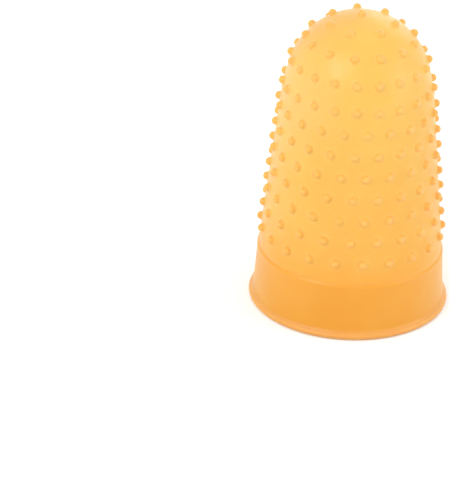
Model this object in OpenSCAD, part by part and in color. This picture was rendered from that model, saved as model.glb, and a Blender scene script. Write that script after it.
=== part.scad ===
// Finger cot: a rubber thimble moulded in one piece, for gripping and turning paper.
// A tapering sleeve covered in small round studs ends in a rounded dome.
// At the open end it carries a plain band and a thin flared lip.
// It stands on its mouth: z = 0 is the mouth and +Z points to the fingertip.

/* [Mouth] */
// Outer diameter of the plain band at the mouth, without the lip
mouth_d = 20.4; // [18.4:0.1:23]
// How far the lip stands out from the band
lip_out = 0.42; // [0.3:0.02:0.8]
// Thickness of the lip's rounded edge, along the axis
lip_t = 0.7; // [0.5:0.05:1]
// Radius of the hollow curve that leads from the band out to the lip
flare_r = 0.6; // [0.3:0.05:1.2]
// Rounding of the inner edge of the mouth
inner_edge_r = 0.2; // [0.1:0.05:0.3]

/* [Band] */
// Height of the plain band, from the mouth to the step
band_h = 6.2; // [4:0.1:9]
// Taper of the band's side, in degrees
band_taper = 3.3; // [1:0.1:5]
// How far the band stands out from the sleeve above it
step = 0.1; // [0.05:0.01:0.3]

/* [Sleeve and dome] */
// Thickness of the wall
wall = 0.9; // [0.6:0.05:1.4]
// Taper of the sleeve's side, in degrees
sleeve_taper = 5.6; // [4:0.1:6.6]
// Height of the whole wall, without the stud at its tip
height = 32.8; // [26:0.1:40]
// Height of the dome, from the sleeve's straight side to the tip, and no less than about its radius
dome_h = 9.7; // [8:0.1:11.5]
// Radius of the curve over the shoulder of the dome
shoulder_r = 23; // [20:0.5:30]

/* [Studs] */
// Diameter of a stud
stud_d = 0.85; // [0.6:0.05:1.2]
// How far a stud stands out from the wall
stud_h = 0.55; // [0.4:0.05:0.9]
// Studs in each full ring
ring_studs = 21; // [12:1:26]
// Distance along the wall from the step to the first ring
first_ring = 2.3; // [1.2:0.1:3.2]
// Distance along the wall from one full ring to the next
ring_pitch = 2.4; // [1.8:0.1:3.6]
// How many studs each ring on the crown has more than the ring above it
crown_growth = 6; // [4:1:7]
// Distance along the wall from the last ring on the crown to the stud at the tip
tip_gap = 3.6; // [2.4:0.1:4.4]

/* [Hidden] */
rubber = "#F4AE48";
wall_fn = 72;
shoulder_fn = 3 * wall_fn;
edge_fn = 24;
stud_fn = 14;

// Radii of the outer face where the band and the sleeve start and end
mouth_r = mouth_d / 2;
band_top_r = mouth_r - (band_h - step) * tan(band_taper);
sleeve_r = band_top_r - step;
sleeve_h = height - dome_h;
sleeve_top_r = sleeve_r - (sleeve_h - band_h) * tan(sleeve_taper);

// The dome is two arcs: the shoulder leaves the sleeve without a corner,
// and the crown, centred on the axis, meets the shoulder without a corner.
shoulder_c = [
    sleeve_top_r - shoulder_r * cos(sleeve_taper),
    sleeve_h - shoulder_r * sin(sleeve_taper)
];
rise = height - shoulder_c.y;
crown_r = (shoulder_r ^ 2 - shoulder_c.x ^ 2 - rise ^ 2) / (2 * (shoulder_r - rise));
crown_z = height - crown_r;
// Slope of the wall's normal where the two arcs meet, and the meeting point
join_angle = atan2(crown_z - shoulder_c.y, -shoulder_c.x);

// Lengths along the outer face, from the step to the tip
sleeve_len = (sleeve_h - band_h) / cos(sleeve_taper);
shoulder_len = shoulder_r * (join_angle - sleeve_taper) * PI / 180;
crown_len = crown_r * (90 - join_angle) * PI / 180;
tip_at = sleeve_len + shoulder_len + crown_len;

// Full rings climb the sleeve and the shoulder, and thinner rings share what is left up to the tip
full_rings = floor((sleeve_len + shoulder_len - first_ring) / ring_pitch) + 1;
last_full_ring = first_ring + (full_rings - 1) * ring_pitch;
crown_rings = round((tip_at - tip_gap - last_full_ring) / ring_pitch);
crown_pitch = (tip_at - tip_gap - last_full_ring) / crown_rings;

// The rounded edge of the lip, and the hollow curve that touches it and the band
lip_r = lip_t / 2;
lip_c = [mouth_r + lip_out - lip_r, lip_r];
reach = flare_r / cos(band_taper) + mouth_r - lip_c.x;
slope = tan(band_taper);
flare_mid = (reach * slope + lip_c.y) / (1 + slope ^ 2);
flare_drop = reach ^ 2 + lip_c.y ^ 2 - (flare_r + lip_r) ^ 2;
flare_z = flare_mid + sqrt(flare_mid ^ 2 - flare_drop / (1 + slope ^ 2));
flare_c = [lip_c.x + reach - flare_z * slope, flare_z];

// The rounding between the mouth's flat rim and the inner face of the band
edge_x = mouth_r + (inner_edge_r - wall) / cos(band_taper) - inner_edge_r * slope;
edge_c = [edge_x, inner_edge_r];

// A point at this angle on an arc
function on_arc(centre, radius, angle) = centre + radius * [cos(angle), sin(angle)];

// Place on the outer face at this distance from the step: radius, height and slope of the normal
function sleeve_at(along) = [
    sleeve_r - along * sin(sleeve_taper),
    band_h + along * cos(sleeve_taper),
    sleeve_taper
];
function dome_at(centre, radius, angle) = concat(on_arc(centre, radius, angle), angle);
function wall_at(along) =
    along < sleeve_len ? sleeve_at(along)
    : along < sleeve_len + shoulder_len
        ? dome_at(shoulder_c, shoulder_r, sleeve_taper + (along - sleeve_len) / shoulder_r * 180 / PI)
        : dome_at([0, crown_z], crown_r, 90 - (tip_at - along) / crown_r * 180 / PI);

// Half of the outline from the mouth to the tip, drawn this far inside the outer face
module outline(inset) {
    side = inset / cos(sleeve_taper);
    low_side = inset / cos(band_taper);
    turn = on_arc(shoulder_c, shoulder_r - inset, sleeve_taper);
    join = on_arc(shoulder_c, shoulder_r - inset, join_angle);
    polygon([
        [0, 0],
        [mouth_r - low_side, 0],
        [band_top_r - low_side, band_h - step],
        [sleeve_r - side, band_h],
        turn,
        join,
        [0, join.y]
    ]);
    intersection() {
        translate(shoulder_c)
            circle(shoulder_r - inset, $fn = shoulder_fn);
        translate([0, turn.y])
            square([turn.x, join.y - turn.y]);
    }
    intersection() {
        translate([0, crown_z])
            circle(crown_r - inset, $fn = wall_fn);
        translate([0, join.y])
            square([join.x, height - join.y]);
    }
}

module lip_section() {
    foot = on_arc(flare_c, -flare_r, band_taper);
    square([lip_c.x, lip_t]);
    translate(lip_c)
        circle(lip_r, $fn = edge_fn);
    difference() {
        polygon([[0, lip_c.y], lip_c, flare_c, foot, [0, foot.y]]);
        translate(flare_c)
            circle(flare_r, $fn = edge_fn);
    }
}

// What the mouth's rounded inner edge takes out of the section
module mouth_section() {
    touch = on_arc(edge_c, -inner_edge_r, band_taper);
    difference() {
        polygon([[0, -lip_t], [edge_c.x, -lip_t], edge_c, touch, [0, touch.y]]);
        translate(edge_c)
            circle(inner_edge_r, $fn = edge_fn);
    }
}

module stud() {
    root = wall / 2;
    neck = stud_h - stud_d / 2;
    translate([0, 0, -root])
        cylinder(d = stud_d, h = root + neck, $fn = stud_fn);
    translate([0, 0, neck])
        sphere(d = stud_d, $fn = stud_fn);
}

// A ring of studs at this distance from the step, turned by a share of the gap between two studs
module stud_ring(along, count, turn) {
    place = wall_at(along);
    for (i = [0 : count - 1])
        rotate([0, 0, (i + turn) * 360 / count - 90])
            translate([place[0], 0, place[1]])
                rotate([0, 90 - place[2], 0])
                    stud();
}

module studs() {
    for (k = [0 : full_rings - 1])
        stud_ring(first_ring + k * ring_pitch, ring_studs, k % 2 / 2);
    for (k = [0 : crown_rings - 1])
        stud_ring(tip_at - tip_gap - k * crown_pitch, 1 + (k + 1) * crown_growth, 1 / 2);
    translate([0, 0, height])
        stud();
}

module finger_cot() {
    color(rubber) {
        rotate_extrude($fn = wall_fn)
            difference() {
                union() {
                    outline(0);
                    lip_section();
                }
                outline(wall);
                mouth_section();
            }
        studs();
    }
}

finger_cot();
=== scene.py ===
import math

import bpy
from mathutils import Matrix, Vector


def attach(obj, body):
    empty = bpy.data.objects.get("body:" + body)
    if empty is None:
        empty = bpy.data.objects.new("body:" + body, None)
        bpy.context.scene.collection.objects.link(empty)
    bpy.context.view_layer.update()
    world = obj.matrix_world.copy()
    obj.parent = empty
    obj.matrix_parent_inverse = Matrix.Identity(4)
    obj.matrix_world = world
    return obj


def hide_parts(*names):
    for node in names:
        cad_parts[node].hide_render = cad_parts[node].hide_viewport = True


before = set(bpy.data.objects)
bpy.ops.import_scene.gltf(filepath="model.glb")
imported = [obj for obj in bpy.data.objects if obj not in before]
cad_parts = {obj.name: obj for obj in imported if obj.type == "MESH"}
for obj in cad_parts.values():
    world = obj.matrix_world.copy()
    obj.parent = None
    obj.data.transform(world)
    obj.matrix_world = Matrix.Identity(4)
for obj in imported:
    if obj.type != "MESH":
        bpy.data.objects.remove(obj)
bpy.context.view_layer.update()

mm = 0.001


# The cot: one moulding of translucent amber rubber. It was cast round a smooth finger-shaped
# core, so its inside is plain, and its outside carries a tapering sleeve with a rounded dome,
# a plain band above the mouth and a thin flared lip. It stands on the flat rim of its mouth.

MOUTH_R = 10.2 * mm
LIP_OUT = 0.42 * mm
LIP_R = 0.35 * mm
FLARE_R = 0.6 * mm
RIM_EDGE_R = 0.2 * mm
BAND_H = 6.2 * mm
BAND_TAPER = math.radians(3.3)
STEP = 0.1 * mm
STEP_SOFT = 0.22 * mm
STEP_BEAD = 0.035 * mm
STEP_ROW = 0.07 * mm
STEP_REACH = 0.8 * mm
BEAD_BELOW = 1.5 * STEP_SOFT
GROOVE_ABOVE = 0.5 * STEP_SOFT
WALL = 0.9 * mm
SLEEVE_TAPER = math.radians(5.6)
SLEEVE_H = 23.1 * mm
HEIGHT = 32.8 * mm
SHOULDER_R = 23 * mm
WALL_SIDES = 168
EDGE_ROWS = 12
FLARE_ROWS = 10
RIM_ROWS = 6
OUTER_ROW = 0.32 * mm
INNER_ROW = 0.5 * mm


def on_arc(centre, radius, angle):
    return (centre[0] + radius * math.cos(angle), centre[1] + radius * math.sin(angle))


def arc(centre, radius, start, end, count):
    return [on_arc(centre, radius, start + (end - start) * i / count) for i in range(count + 1)]


def smooth(low, high, value):
    t = min(max((value - low) / (high - low), 0), 1)
    return t * t * (3 - 2 * t)


band_slope = math.tan(BAND_TAPER)
sleeve_r = MOUTH_R - (BAND_H - STEP) * band_slope - STEP
sleeve_top_r = sleeve_r - (SLEEVE_H - BAND_H) * math.tan(SLEEVE_TAPER)
shoulder_c = (
    sleeve_top_r - SHOULDER_R * math.cos(SLEEVE_TAPER),
    SLEEVE_H - SHOULDER_R * math.sin(SLEEVE_TAPER),
)
rise = HEIGHT - shoulder_c[1]
crown_r = (SHOULDER_R ** 2 - shoulder_c[0] ** 2 - rise ** 2) / (2 * (SHOULDER_R - rise))
crown_c = (0, HEIGHT - crown_r)
join_angle = math.atan2(crown_c[1] - shoulder_c[1], -shoulder_c[0])


def swell(z, middle, width):
    """Share of a low bead, from 1 along its middle to nothing about two widths away."""
    return math.exp(-((z - middle) / width) ** 2)


def side_r(z, inset):
    """Radius of the band and sleeve at this height. On the outer face the step between them is
    soft, with a low bead under it and a shallow groove over it."""
    band = MOUTH_R - z * band_slope - inset / math.cos(BAND_TAPER)
    sleeve = sleeve_r - (z - BAND_H) * math.tan(SLEEVE_TAPER) - inset / math.cos(SLEEVE_TAPER)
    share = smooth(BAND_H - STEP_SOFT, BAND_H, z)
    if inset == 0:
        band += STEP_BEAD * swell(z, BAND_H - BEAD_BELOW, STEP_SOFT)
        sleeve -= STEP_BEAD * swell(z, BAND_H + GROOVE_ABOVE, STEP_SOFT)
    return band + (sleeve - band) * share


def side(start, inset, row):
    """The band and sleeve as points, with close rows round the step on the outer face."""
    rows = round((SLEEVE_H - start) / row)
    heights = [start + (SLEEVE_H - start) * i / rows for i in range(rows + 1)]
    if inset == 0:
        low, high = BAND_H - STEP_REACH, BAND_H + STEP_REACH / 2
        count = round((high - low) / STEP_ROW)
        step_rows = [low + (high - low) * i / count for i in range(count + 1)]
        heights = [z for z in heights if not low - row / 3 < z < high + row / 3] + step_rows
    return [(side_r(z, inset), z) for z in sorted(heights)]


def dome(inset, row):
    shoulder_rows = round(SHOULDER_R * (join_angle - SLEEVE_TAPER) / row)
    crown_rows = round(crown_r * (math.pi / 2 - join_angle) / row)
    shoulder = arc(shoulder_c, SHOULDER_R - inset, SLEEVE_TAPER, join_angle, shoulder_rows)
    crown = arc(crown_c, crown_r - inset, join_angle, math.pi / 2, crown_rows)
    return shoulder[1:] + crown[1:]


def lip_and_flare():
    """The lip's rounded edge and the hollow curve that runs from it into the band."""
    edge_c = (MOUTH_R + LIP_OUT - LIP_R, LIP_R)
    reach = FLARE_R / math.cos(BAND_TAPER) + MOUTH_R - edge_c[0]
    middle = (reach * band_slope + edge_c[1]) / (1 + band_slope ** 2)
    drop = reach ** 2 + edge_c[1] ** 2 - (FLARE_R + LIP_R) ** 2
    flare_z = middle + math.sqrt(middle ** 2 - drop / (1 + band_slope ** 2))
    flare_c = (edge_c[0] + reach - flare_z * band_slope, flare_z)
    touch = math.atan2(flare_c[1] - edge_c[1], flare_c[0] - edge_c[0])
    edge = arc(edge_c, LIP_R, -math.pi / 2, touch, EDGE_ROWS)
    flare = arc(flare_c, FLARE_R, touch + math.pi, BAND_TAPER + math.pi, FLARE_ROWS)
    return edge + flare[1:]


def rim_inner_edge():
    r = MOUTH_R + (RIM_EDGE_R - WALL) / math.cos(BAND_TAPER) - RIM_EDGE_R * band_slope
    return arc((r, RIM_EDGE_R), RIM_EDGE_R, -math.pi / 2, BAND_TAPER - math.pi, RIM_ROWS)


def lathe(name, outline, sides):
    """A closed solid turned from an outline whose first and last points lie on the axis."""
    verts = [(0, 0, outline[0][1])]
    for r, z in outline[1:-1]:
        for i in range(sides):
            turn = 2 * math.pi * i / sides
            verts.append((r * math.cos(turn), r * math.sin(turn), z))
    verts.append((0, 0, outline[-1][1]))
    rings = len(outline) - 2
    last = len(verts) - 1
    faces = []
    for i in range(sides):
        j = (i + 1) % sides
        faces.append((0, 1 + j, 1 + i))
        for k in range(rings - 1):
            low, high = 1 + k * sides, 1 + (k + 1) * sides
            faces.append((low + i, low + j, high + j, high + i))
        top = 1 + (rings - 1) * sides
        faces.append((top + i, top + j, last))
    mesh = bpy.data.meshes.new(name)
    mesh.from_pydata(verts, [], faces)
    mesh.update()
    piece = bpy.data.objects.new(name, mesh)
    bpy.context.scene.collection.objects.link(piece)
    return piece


lip = lip_and_flare()
inner_edge = rim_inner_edge()
outer = lip + side(lip[-1][1] + OUTER_ROW, 0, OUTER_ROW) + dome(0, OUTER_ROW)
inner = inner_edge + side(inner_edge[-1][1] + INNER_ROW, WALL, INNER_ROW) + dome(WALL, INNER_ROW)
cot = lathe("studded_cot", inner[::-1] + outer, WALL_SIDES)
inside = cot.data.attributes.new("inside", "FLOAT", "POINT")
inside_count = 1 + (len(inner) - 1) * WALL_SIDES
inside.data.foreach_set("value", [float(i < inside_count) for i in range(len(cot.data.vertices))])


# The studs: round domed pegs of the same moulding, left by blind holes that stand square in the
# outer mould. Rings of them climb the sleeve at an even pitch, each turned half a gap from the
# last, and thin out over the dome to a single one at the tip.

STUD_R = 0.425 * mm
STUD_H = 0.55 * mm
STUD_ROOT_R = 0.20 * mm
STUD_CROWN_R = 0.34 * mm
STUD_BURIED = 0.35 * mm
STUD_SUNK = 0.004 * mm
STUD_SIDES = 12
STUD_ARC_ROWS = 2
PATH_ROW = OUTER_ROW / 4
RING_STUDS = 21
SLEEVE_RINGS = 8
DOME_STUDS = (19, 13, 7)
FIRST_RING = 2.3 * mm
RING_PITCH = 2.4 * mm
TIP_GAP = 3.6 * mm
SPOT_FADE = 0.4 * mm
SPOT_NEAR = WALL - STUD_BURIED
SPOT_FAR = SPOT_NEAR + SPOT_FADE
FOOT_REACH = 0.4 * mm
SEAM_MERGE = 0.001 * mm


class Maths:
    """A node's output that takes part in ordinary arithmetic."""

    def __init__(self, net, socket):
        self.net = net
        self.socket = socket

    def combine(self, operation, first, second):
        return self.net.node("ShaderNodeMath", {"operation": operation}, {0: first, 1: second})

    def __add__(self, other):
        return self.combine("ADD", self, other)

    def __sub__(self, other):
        return self.combine("SUBTRACT", self, other)

    def __rsub__(self, other):
        return self.combine("SUBTRACT", other, self)

    def __mul__(self, other):
        return self.combine("MULTIPLY", self, other)

    def __truediv__(self, other):
        return self.combine("DIVIDE", self, other)

    __radd__ = __add__
    __rmul__ = __mul__


class Net:
    """A node tree that is written as calls: a node's type, its settings, then its sockets."""

    def __init__(self, tree):
        self.tree = tree

    def node(self, kind, settings={}, sockets={}, output=0):
        new = self.tree.nodes.new(kind)
        for name, value in settings.items():
            setattr(new, name, value)
        for name, value in sockets.items():
            for item in value if isinstance(value, list) else [value]:
                if isinstance(item, Maths):
                    self.tree.links.new(item.socket, new.inputs[name])
                else:
                    new.inputs[name].default_value = item
        return Maths(self, new.outputs[output]) if len(new.outputs) else None

    def also(self, value, name):
        return Maths(self, value.socket.node.outputs[name])


def geometry_group(name, inputs):
    tree = bpy.data.node_groups.new(name, "GeometryNodeTree")
    for title, kind in inputs:
        tree.interface.new_socket(title, in_out="INPUT", socket_type="NodeSocket" + kind)
    tree.interface.new_socket("Geometry", in_out="OUTPUT", socket_type="NodeSocketGeometry")
    net = Net(tree)
    start = net.node("NodeGroupInput")
    return net, {title: net.also(start, title) for title, kind in inputs}


def stud_ring_group():
    """Studs at one distance along the path, spread evenly round the axis."""
    net, given = geometry_group("stud ring", [
        ("Stud", "Geometry"), ("Path", "Geometry"), ("Along", "Float"), ("Count", "Int"), ("Turn", "Float"),
    ])
    place = net.node("GeometryNodeSampleCurve", {"mode": "LENGTH"},
                     {"Curves": given["Path"], "Length": given["Along"]}, "Position")
    outward = net.node("ShaderNodeSeparateXYZ", {}, {0: net.also(place, "Tangent")})
    upward = net.also(outward, "Z")
    lean = net.node("ShaderNodeMath", {"operation": "ARCTAN2"}, {0: upward, 1: 0 - outward})
    placed = net.node("GeometryNodeTransform", {}, {
        "Geometry": given["Stud"],
        "Translation": place,
        "Rotation": net.node("ShaderNodeCombineXYZ", {}, {"Y": lean}),
    })
    index = net.node("GeometryNodeInputIndex")
    angle = (index + given["Turn"]) / given["Count"] * math.tau - math.tau / 4
    ring = net.node("GeometryNodeInstanceOnPoints", {}, {
        "Points": net.node("GeometryNodePoints", {}, {"Count": given["Count"]}),
        "Instance": placed,
        "Rotation": net.node("ShaderNodeCombineXYZ", {}, {"Z": angle}),
    })
    net.node("NodeGroupOutput", {}, {"Geometry": ring})
    return net.tree


def studded_wall_group(ring_group, rubber):
    """Fuses every ring of studs with the plain wall. It marks how far the surface stands out, and
    which parts of the wall are beside a stud or behind one."""
    net, given = geometry_group("studded wall", [
        ("Geometry", "Geometry"), ("Path", "Object"), ("Stud", "Object"), ("First ring", "Float"),
        ("Ring pitch", "Float"), ("Studs in a ring", "Int"), ("Tip gap", "Float"),
    ])
    path = net.node("GeometryNodeObjectInfo", {}, {"Object": given["Path"]}, "Geometry")
    stud = net.node("GeometryNodeObjectInfo", {}, {"Object": given["Stud"]}, "Geometry")
    tip_at = net.node("GeometryNodeCurveLength", {}, {"Curve": path})

    def ring(along, count, turn):
        return net.node("GeometryNodeGroup", {"node_tree": ring_group},
                        {"Stud": stud, "Path": path, "Along": along, "Count": count, "Turn": turn})

    rings = []
    for k in range(SLEEVE_RINGS):
        last = given["First ring"] + given["Ring pitch"] * k
        rings.append(ring(last, given["Studs in a ring"], k % 2 / 2))
    dome_pitch = (tip_at - given["Tip gap"] - last) / len(DOME_STUDS)
    for k, count in enumerate(DOME_STUDS):
        rings.append(ring(last + dome_pitch * (k + 1), count, 1 / 2))
    rings.append(ring(tip_at, 1, 0))
    joined = net.node("GeometryNodeJoinGeometry", {}, {"Geometry": rings})
    studs = net.node("GeometryNodeRealizeInstances", {}, {"Geometry": joined})

    def distance_to(solid):
        return net.node("GeometryNodeProximity", {"target_element": "FACES"},
                        {"Geometry": solid}, "Distance")

    def mark(solid, name, value):
        return net.node("GeometryNodeStoreNamedAttribute", {"data_type": "FLOAT", "domain": "POINT"},
                        {"Geometry": solid, "Name": name, "Value": value})

    def near(distance, start, end):
        return net.node("ShaderNodeMapRange", {"interpolation_type": "SMOOTHSTEP"},
                        {"Value": distance, "From Min": start, "From Max": end, "To Min": 1, "To Max": 0})

    height = net.node("GeometryNodeInputNamedAttribute", {"data_type": "FLOAT"},
                      {"Name": "height"}, "Attribute")
    foot = net.also(distance_to(given["Geometry"]), "Position")
    square_on = net.node("GeometryNodeSampleNearestSurface", {"data_type": "FLOAT_VECTOR"}, {
        "Mesh": given["Geometry"], "Value": net.node("GeometryNodeInputNormal"),
    })
    lift = net.node("ShaderNodeVectorMath", {"operation": "SCALE"}, {0: square_on, "Scale": height})
    shows = net.node("FunctionNodeCompare", {"operation": "GREATER_THAN"}, {0: height, 1: -STUD_BURIED / 2})
    studs = net.node("GeometryNodeSetPosition", {}, {
        "Geometry": studs,
        "Selection": shows,
        "Position": net.node("ShaderNodeVectorMath", {"operation": "ADD"}, {0: foot, 1: lift}),
    })
    whole = net.node("GeometryNodeMeshBoolean", {"operation": "UNION", "solver": "MANIFOLD"},
                     {"Mesh 2": [given["Geometry"], studs]})
    whole = net.node("GeometryNodeMergeByDistance", {"mode": "CONNECTED"},
                     {"Geometry": whole, "Distance": SEAM_MERGE})
    to_stud = distance_to(studs)
    whole = mark(whole, "stands out", distance_to(given["Geometry"]) / STUD_H)
    whole = mark(whole, "behind a stud", near(to_stud, SPOT_NEAR, SPOT_FAR))
    whole = mark(whole, "beside a stud", near(to_stud, 0, FOOT_REACH))
    whole = net.node("GeometryNodeSetShadeSmooth", {}, {"Geometry": whole})
    whole = net.node("GeometryNodeRealizeInstances", {}, {"Geometry": whole})
    whole = net.node("GeometryNodeSetMaterial", {}, {"Geometry": whole, "Material": rubber})
    net.node("NodeGroupOutput", {}, {"Geometry": whole})
    return net.tree


def curve_path(name, points):
    curve = bpy.data.curves.new(name, "CURVE")
    curve.dimensions = "3D"
    line = curve.splines.new("POLY")
    line.points.add(len(points) - 1)
    for point, (r, z) in zip(line.points, points):
        point.co = (r, 0, z, 1)
    path = bpy.data.objects.new(name, curve)
    bpy.context.scene.collection.objects.link(path)
    return path


def stud_outline():
    """Half of a stud's outline, from the end that is buried in the wall to its domed top."""
    foot_r = STUD_R + STUD_ROOT_R
    foot = arc((foot_r, STUD_ROOT_R), STUD_ROOT_R, -math.pi / 2, -math.pi, STUD_ARC_ROWS)
    crown_c = (STUD_R - STUD_CROWN_R, STUD_H - STUD_CROWN_R)
    crown = arc(crown_c, STUD_CROWN_R, 0, math.pi / 2, STUD_ARC_ROWS)
    buried = [(0, -STUD_BURIED), (foot_r, -STUD_BURIED)]
    above = [(r, h - STUD_SUNK) for r, h in foot + crown[:-1]]
    return buried + above + [(crown[-1][0], STUD_H), (0, STUD_H)]


def set_inputs(modifier, values):
    sockets = modifier.node_group.interface.items_tree
    for socket in sockets:
        if socket.in_out == "INPUT" and socket.name in values:
            modifier[socket.identifier] = values[socket.name]


rubber = bpy.data.materials.new("amber_rubber")
rubber.use_nodes = True
climb = [(sleeve_r - along * math.sin(SLEEVE_TAPER), BAND_H + along * math.cos(SLEEVE_TAPER))
         for along in (0, (SLEEVE_H - BAND_H) / math.cos(SLEEVE_TAPER))]
path = curve_path("climb", climb + dome(0, PATH_ROW))
peg = lathe("peg", stud_outline(), STUD_SIDES)
height = peg.data.attributes.new("height", "FLOAT", "POINT")
height.data.foreach_set("value", [vertex.co.z for vertex in peg.data.vertices])
fuse = cot.modifiers.new("studs", "NODES")
fuse.node_group = studded_wall_group(stud_ring_group(), rubber)
set_inputs(fuse, {
    "Path": path, "Stud": peg, "First ring": FIRST_RING, "Ring pitch": RING_PITCH,
    "Studs in a ring": RING_STUDS, "Tip gap": TIP_GAP,
})
bpy.context.view_layer.update()
plain_wall = cot
fused = bpy.data.meshes.new_from_object(plain_wall.evaluated_get(bpy.context.evaluated_depsgraph_get()))
cot = bpy.data.objects.new("rubber_cot", fused)
bpy.context.scene.collection.objects.link(cot)
for helper in (plain_wall, path, peg):
    bpy.data.objects.remove(helper)


# The rubber: natural latex, tinted amber, cured with a satin skin and thin enough for light to pass
# through, with soft random clouds of paler tone and a deeper tone over the lip. Painted shade deepens
# it towards the bottom, round the crown and on the +X side, on the studs' sides, along the lip's
# bottom edge and on the inside behind each stud; the band is deeper, partly its own tone, partly
# painted shade. A painted highlight lies below the dome, painted light rings each stud's foot, and
# the stud tops are painted deeper towards -X and with a pinkish painted highlight towards +X.

AMBER = (0.99, 0.567, 0.104, 1)
# Painted shade round the crown, towards -X.
CROWN_SHADE_AMBER = (0.99, 0.50, 0.098, 1)
CROWN_SHADE_AT = (-3.6 * mm, 1.2 * mm, 31 * mm)
CROWN_SHADE_REACH = 6.5 * mm
CROWN_SHADE_NEAR = 1.5 * mm
# Painted shade: the colour deepens towards the bottom of the cot.
LOW_SHADE_AMBER = (0.985, 0.449, 0.043, 1)
LOW_SHADE_FROM = 28 * mm
LOW_SHADE_NEAR = 11 * mm
NEAR_SHARE = 0.45
# Painted shade on the +X side of the cot.
SIDE_SHADE_SHARE = 0.5
SIDE_SHADE_TO = 9 * mm
# The band's deeper colour: partly its own tone, partly painted shade near the table.
BAND_TONE_AND_SHADE_AMBER = (0.845, 0.380, 0.012, 1)
BAND_TOP_SHARE = 0.8
CLOUD_AMBER = (0.99, 0.61, 0.135, 1)
CLOUD = 5 * mm
CLOUD_RANGE = (0.35, 0.75)
CLOUD_SHARE = 0.5
LOW_CLOUD_SHARE = 0.1
# A painted highlight: a pale patch below the dome, facing the left lamp.
HIGHLIGHT_AMBER = (0.99, 0.61, 0.20, 1)
HIGHLIGHT_AT = (-6.4 * mm, -4.2 * mm, 25.2 * mm)
HIGHLIGHT_REACH = 7 * mm
HIGHLIGHT_SHARE = 0.45
# Painted light: a paler ring round each stud's foot that fills in the shade at its root.
FOOT_LIGHT_AMBER = (0.99, 0.66, 0.20, 1)
FOOT_LIGHT_RANGE = (0.5, 0.1)
FOOT_LIGHT_SHARE = 0.15
# Painted shade on the studs' sides.
STUD_SIDE_SHADE_AMBER = (0.99, 0.46, 0.11, 1)
STUD_SIDE_SHADE_RANGE = (0.1, 0.4)
STUD_SIDE_SHADE_SHARE = 0.35
# Painted light on the stud tops: deeper orange towards -X, a pale pinkish painted highlight towards +X.
STUD_TOP_SHADE_AMBER = (0.99, 0.45, 0.08, 1)
STUD_TOP_HIGHLIGHT_AMBER = (0.99, 0.50, 0.175, 1)
STUD_TOP_HIGHLIGHT_RANGE = (-7 * mm, 7 * mm)
STUD_TOP_LIGHT_RANGE = (0.45, 0.9)
STUD_TOP_LIGHT_SHARE = 0.5
LIP_AMBER = (0.85, 0.435, 0.11, 1)
LIP_RANGE = (3 * LIP_R, 2 * LIP_R)
LIP_SHARE = 0.7
# Painted shade along the lip's bottom edge, where it meets the table.
UNDER_SHADE_AMBER = (0.76, 0.37, 0.07, 1)
UNDER_SHADE_RANGE = (1.6 * LIP_R, LIP_R)
UNDER_SHADE_SHARE = 0.8
# Painted shade on the inside behind each stud, where less light passes through the thicker rubber.
STUD_SHADOW_AMBER = (0.90, 0.42, 0.07, 1)
STUD_SHADOW_SHARE = 0.6
GRAIN = 0.22 * mm
GRAIN_DEPTH = 0.012 * mm
GRAIN_STRENGTH = 0.6
SKIN_ROUGHNESS = 0.38
PATCH = CLOUD / 3
PATCH_ROUGHNESS = 0.2
GRAIN_ROUGHNESS = 0.12
RUBBER_IOR = 1.5
LIGHT_REACH_MM = (0.5, 0.42, 0.3)
SHEEN = 0.2
SHEEN_ROUGHNESS = 0.45
SHEEN_TINT = (1, 0.86, 0.72, 1)


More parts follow.
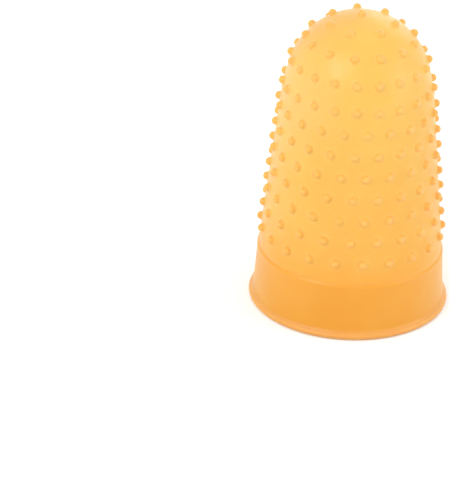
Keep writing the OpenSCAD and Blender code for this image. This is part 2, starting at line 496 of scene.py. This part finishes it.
def dress_rubber(material):
    """Lays each shade of the rubber over the last, then gives it its skin and its depth."""
    net = Net(material.node_tree)
    net.tree.nodes.clear()
    place = net.node("ShaderNodeTexCoord", {}, {}, "Object")
    across = net.node("ShaderNodeSeparateXYZ", {}, {0: place}, "X")
    height = net.also(across, "Z")

    def noise(size, detail):
        return net.node("ShaderNodeTexNoise", {}, {"Vector": place, "Scale": 1 / size, "Detail": detail})

    def distance(point):
        return net.node("ShaderNodeVectorMath", {"operation": "DISTANCE"}, {0: place, 1: point}, "Value")

    def attribute(name):
        return net.node("ShaderNodeAttribute", {"attribute_name": name}, {}, "Fac")

    def between(share, first, second):
        return net.node("ShaderNodeMix", {"data_type": "RGBA"}, {0: share, 6: first, 7: second}, 2)

    def ramp(value, low, high):
        return net.node("ShaderNodeMapRange", {"interpolation_type": "SMOOTHSTEP"},
                        {"Value": value, "From Min": low, "From Max": high})

    # Painted shade: the colour deepens towards the bottom of the cot.
    low = ramp(height, LOW_SHADE_FROM, BAND_H) * (1 - NEAR_SHARE) + ramp(height, LOW_SHADE_NEAR, BAND_H) * NEAR_SHARE
    # Painted shade: deeper towards the +X side.
    side_shade = ramp(across, 0, SIDE_SHADE_TO) * (1 - low)
    band = ramp(height, BAND_H + STEP_SOFT / 2, BAND_H - STEP_SOFT)
    towards_lip = BAND_TOP_SHARE + (1 - BAND_TOP_SHARE) * ramp(height, BAND_H, LIP_R)
    clouds = ramp(noise(CLOUD, 2), *CLOUD_RANGE) * (CLOUD_SHARE - (CLOUD_SHARE - LOW_CLOUD_SHARE) * low)
    out = attribute("stands out")
    inside = attribute("inside")
    outside = 1 - inside
    # Painted light: a paler ring round each stud's foot that fills in the shade at its root.
    foot_light = attribute("beside a stud") * outside * ramp(out, *FOOT_LIGHT_RANGE)
    # Painted light on the stud tops: deeper orange towards -X, a pale pinkish painted highlight towards +X.
    top_light = between(ramp(across, *STUD_TOP_HIGHLIGHT_RANGE), STUD_TOP_SHADE_AMBER, STUD_TOP_HIGHLIGHT_AMBER)
    # Painted shade round the crown, towards -X.
    colour = between(ramp(distance(CROWN_SHADE_AT), CROWN_SHADE_REACH, CROWN_SHADE_NEAR), AMBER, CROWN_SHADE_AMBER)
    # Painted shade laid on towards the bottom and towards the +X side.
    colour = between(low + side_shade * SIDE_SHADE_SHARE, colour, LOW_SHADE_AMBER)
    # The band deeper towards the lip: partly its own deeper tone, partly painted shade near the table.
    colour = between(band * towards_lip, colour, BAND_TONE_AND_SHADE_AMBER)
    colour = between(clouds, colour, CLOUD_AMBER)
    # Painted highlight: a pale patch below the dome, facing the left lamp.
    colour = between(ramp(distance(HIGHLIGHT_AT), HIGHLIGHT_REACH, 0) * HIGHLIGHT_SHARE, colour, HIGHLIGHT_AMBER)
    colour = between(foot_light * FOOT_LIGHT_SHARE, colour, FOOT_LIGHT_AMBER)
    # Painted shade on the studs' sides.
    colour = between(ramp(out, *STUD_SIDE_SHADE_RANGE) * STUD_SIDE_SHADE_SHARE, colour, STUD_SIDE_SHADE_AMBER)
    # Painted light on the stud tops.
    colour = between(ramp(out, *STUD_TOP_LIGHT_RANGE) * STUD_TOP_LIGHT_SHARE, colour, top_light)
    colour = between(ramp(height, *LIP_RANGE) * outside * LIP_SHARE, colour, LIP_AMBER)
    # Painted shade along the lip's bottom edge, where it meets the table.
    colour = between(ramp(height, *UNDER_SHADE_RANGE) * outside * UNDER_SHADE_SHARE, colour, UNDER_SHADE_AMBER)
    # Painted shade on the inside behind each stud, where less light passes through the thicker rubber.
    colour = between(attribute("behind a stud") * inside * STUD_SHADOW_SHARE, colour, STUD_SHADOW_AMBER)
    skin = noise(GRAIN, 3)
    patches = noise(PATCH, 3)
    roughness = SKIN_ROUGHNESS + (patches - 0.5) * PATCH_ROUGHNESS + (skin - 0.5) * GRAIN_ROUGHNESS
    bump = net.node("ShaderNodeBump", {},
                    {"Strength": GRAIN_STRENGTH, "Distance": GRAIN_DEPTH, "Height": skin})
    shader = net.node("ShaderNodeBsdfPrincipled", {"subsurface_method": "RANDOM_WALK"}, {
        "Base Color": colour,
        "Roughness": roughness,
        "Normal": bump,
        "IOR": RUBBER_IOR,
        "Subsurface Weight": 1,
        "Subsurface Radius": LIGHT_REACH_MM,
        "Subsurface Scale": mm,
        "Sheen Weight": SHEEN,
        "Sheen Roughness": SHEEN_ROUGHNESS,
        "Sheen Tint": SHEEN_TINT,
    })
    net.node("ShaderNodeOutputMaterial", {}, {"Surface": shader})


dress_rubber(rubber)
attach(cot, "root")
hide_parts("finger_cot")


# The studio: a plain white table that keeps a soft shadow, an even white surround, a broad lamp
# from the upper left, a second one from the right and a third behind that shines through the wall.

FLOOR_R = 700 * mm
FLOOR_BOTTOM = -2 * mm
FLOOR_TOP = -0.02 * mm
FLOOR_SIDES = 96
FLOOR_WHITE = (0.86, 0.86, 0.86, 1)
FLOOR_LIFT = 0.27
SURROUND = 0.84
SURROUND_WHITE = (1, 1, 1, 1)


def seen_rays(net):
    """Marks the rays that show the white table or surround, straight or through a gloss."""
    rays = net.node("ShaderNodeLightPath", {}, {}, "Is Camera Ray")
    return rays + net.also(rays, "Is Glossy Ray") + net.also(rays, "Is Transmission Ray")


slab = [(0, FLOOR_BOTTOM), (FLOOR_R, FLOOR_BOTTOM), (FLOOR_R, FLOOR_TOP), (0, FLOOR_TOP)]
floor = lathe("floor", slab, FLOOR_SIDES)
white = bpy.data.materials.new("white_table")
white.use_nodes = True
net = Net(white.node_tree)
net.tree.nodes.clear()
seen = seen_rays(net)
table = net.node("ShaderNodeBsdfDiffuse", {}, {"Color": FLOOR_WHITE})
lift = net.node("ShaderNodeEmission", {}, {"Strength": seen * FLOOR_LIFT})
both = net.node("ShaderNodeAddShader", {}, {0: table, 1: lift})
net.node("ShaderNodeOutputMaterial", {}, {"Surface": both})
floor.data.materials.append(white)

world = bpy.data.worlds.new("surround")
world.use_nodes = True
bpy.context.scene.world = world
net = Net(world.node_tree)
net.tree.nodes.clear()
seen = net.node("ShaderNodeMath", {"operation": "MINIMUM"}, {0: seen_rays(net), 1: 1})
strength = SURROUND + (1 - SURROUND) * seen
sky = net.node("ShaderNodeBackground", {}, {"Strength": strength, "Color": SURROUND_WHITE})
net.node("ShaderNodeOutputWorld", {}, {"Surface": sky})


def soft_lamp(name, place, size, power):
    lamp = bpy.data.lights.new(name, "AREA")
    lamp.shape = "DISK"
    lamp.size = size
    lamp.energy = power
    stand = bpy.data.objects.new(name, lamp)
    spot = Vector(place)
    aim = Vector((0, 0, HEIGHT / 2)) - spot
    stand.matrix_world = Matrix.Translation(spot) @ aim.to_track_quat("-Z", "Y").to_matrix().to_4x4()
    bpy.context.scene.collection.objects.link(stand)


soft_lamp("left_lamp", place=(-0.33, -0.27, 0.34), size=0.26, power=0.80)
soft_lamp("right_lamp", place=(0.38, -0.16, 0.16), size=0.30, power=0.38)
soft_lamp("back_lamp", place=(0.20, 0.36, 0.16), size=0.30, power=0.20)


# The camera: it looks down on the cot from the front, far enough off for almost parallel sight
# lines. Its place follows from where the mouth's centre and the tip lie in the photograph's frame.

PHOTO_W = 449
PHOTO_H = 478
FOCAL_PX = 4013.3
MOUTH_PX = (347.457, 292.981)
PX_PER_MM = 9.3129
LOOK_DOWN = 0.4842
ROLL = 0.0355
TURN = math.radians(-6.45)
SENSOR_MM = 36
NEAREST = 10 * mm
FARTHEST = 10

away = FOCAL_PX / PX_PER_MM * mm
across = MOUTH_PX[0] - PHOTO_W / 2
down = MOUTH_PX[1] - PHOTO_H / 2
mouth_x = (math.cos(ROLL) * across + math.sin(ROLL) * down) * away / FOCAL_PX
mouth_y = (math.sin(ROLL) * across - math.cos(ROLL) * down) * away / FOCAL_PX
right = Vector((1, 0, 0))
up = Vector((0, math.sin(LOOK_DOWN), math.cos(LOOK_DOWN)))
ahead = Vector((0, math.cos(LOOK_DOWN), -math.sin(LOOK_DOWN)))
eye = -(right * mouth_x + up * mouth_y + ahead * away)
rolled_right = right * math.cos(ROLL) + up * math.sin(ROLL)
rolled_up = up * math.cos(ROLL) - right * math.sin(ROLL)
lens = bpy.data.cameras.new("camera")
lens.sensor_width = SENSOR_MM
lens.lens = FOCAL_PX * SENSOR_MM / PHOTO_H
lens.clip_start = NEAREST
lens.clip_end = FARTHEST
camera = bpy.data.objects.new("camera", lens)
aim = Matrix((rolled_right, rolled_up, -ahead)).transposed().to_4x4()
camera.matrix_world = Matrix.Rotation(TURN, 4, "Z") @ Matrix.Translation(eye) @ aim
bpy.context.scene.collection.objects.link(camera)
bpy.context.scene.camera = camera
bpy.context.scene.view_settings.view_transform = "Standard"
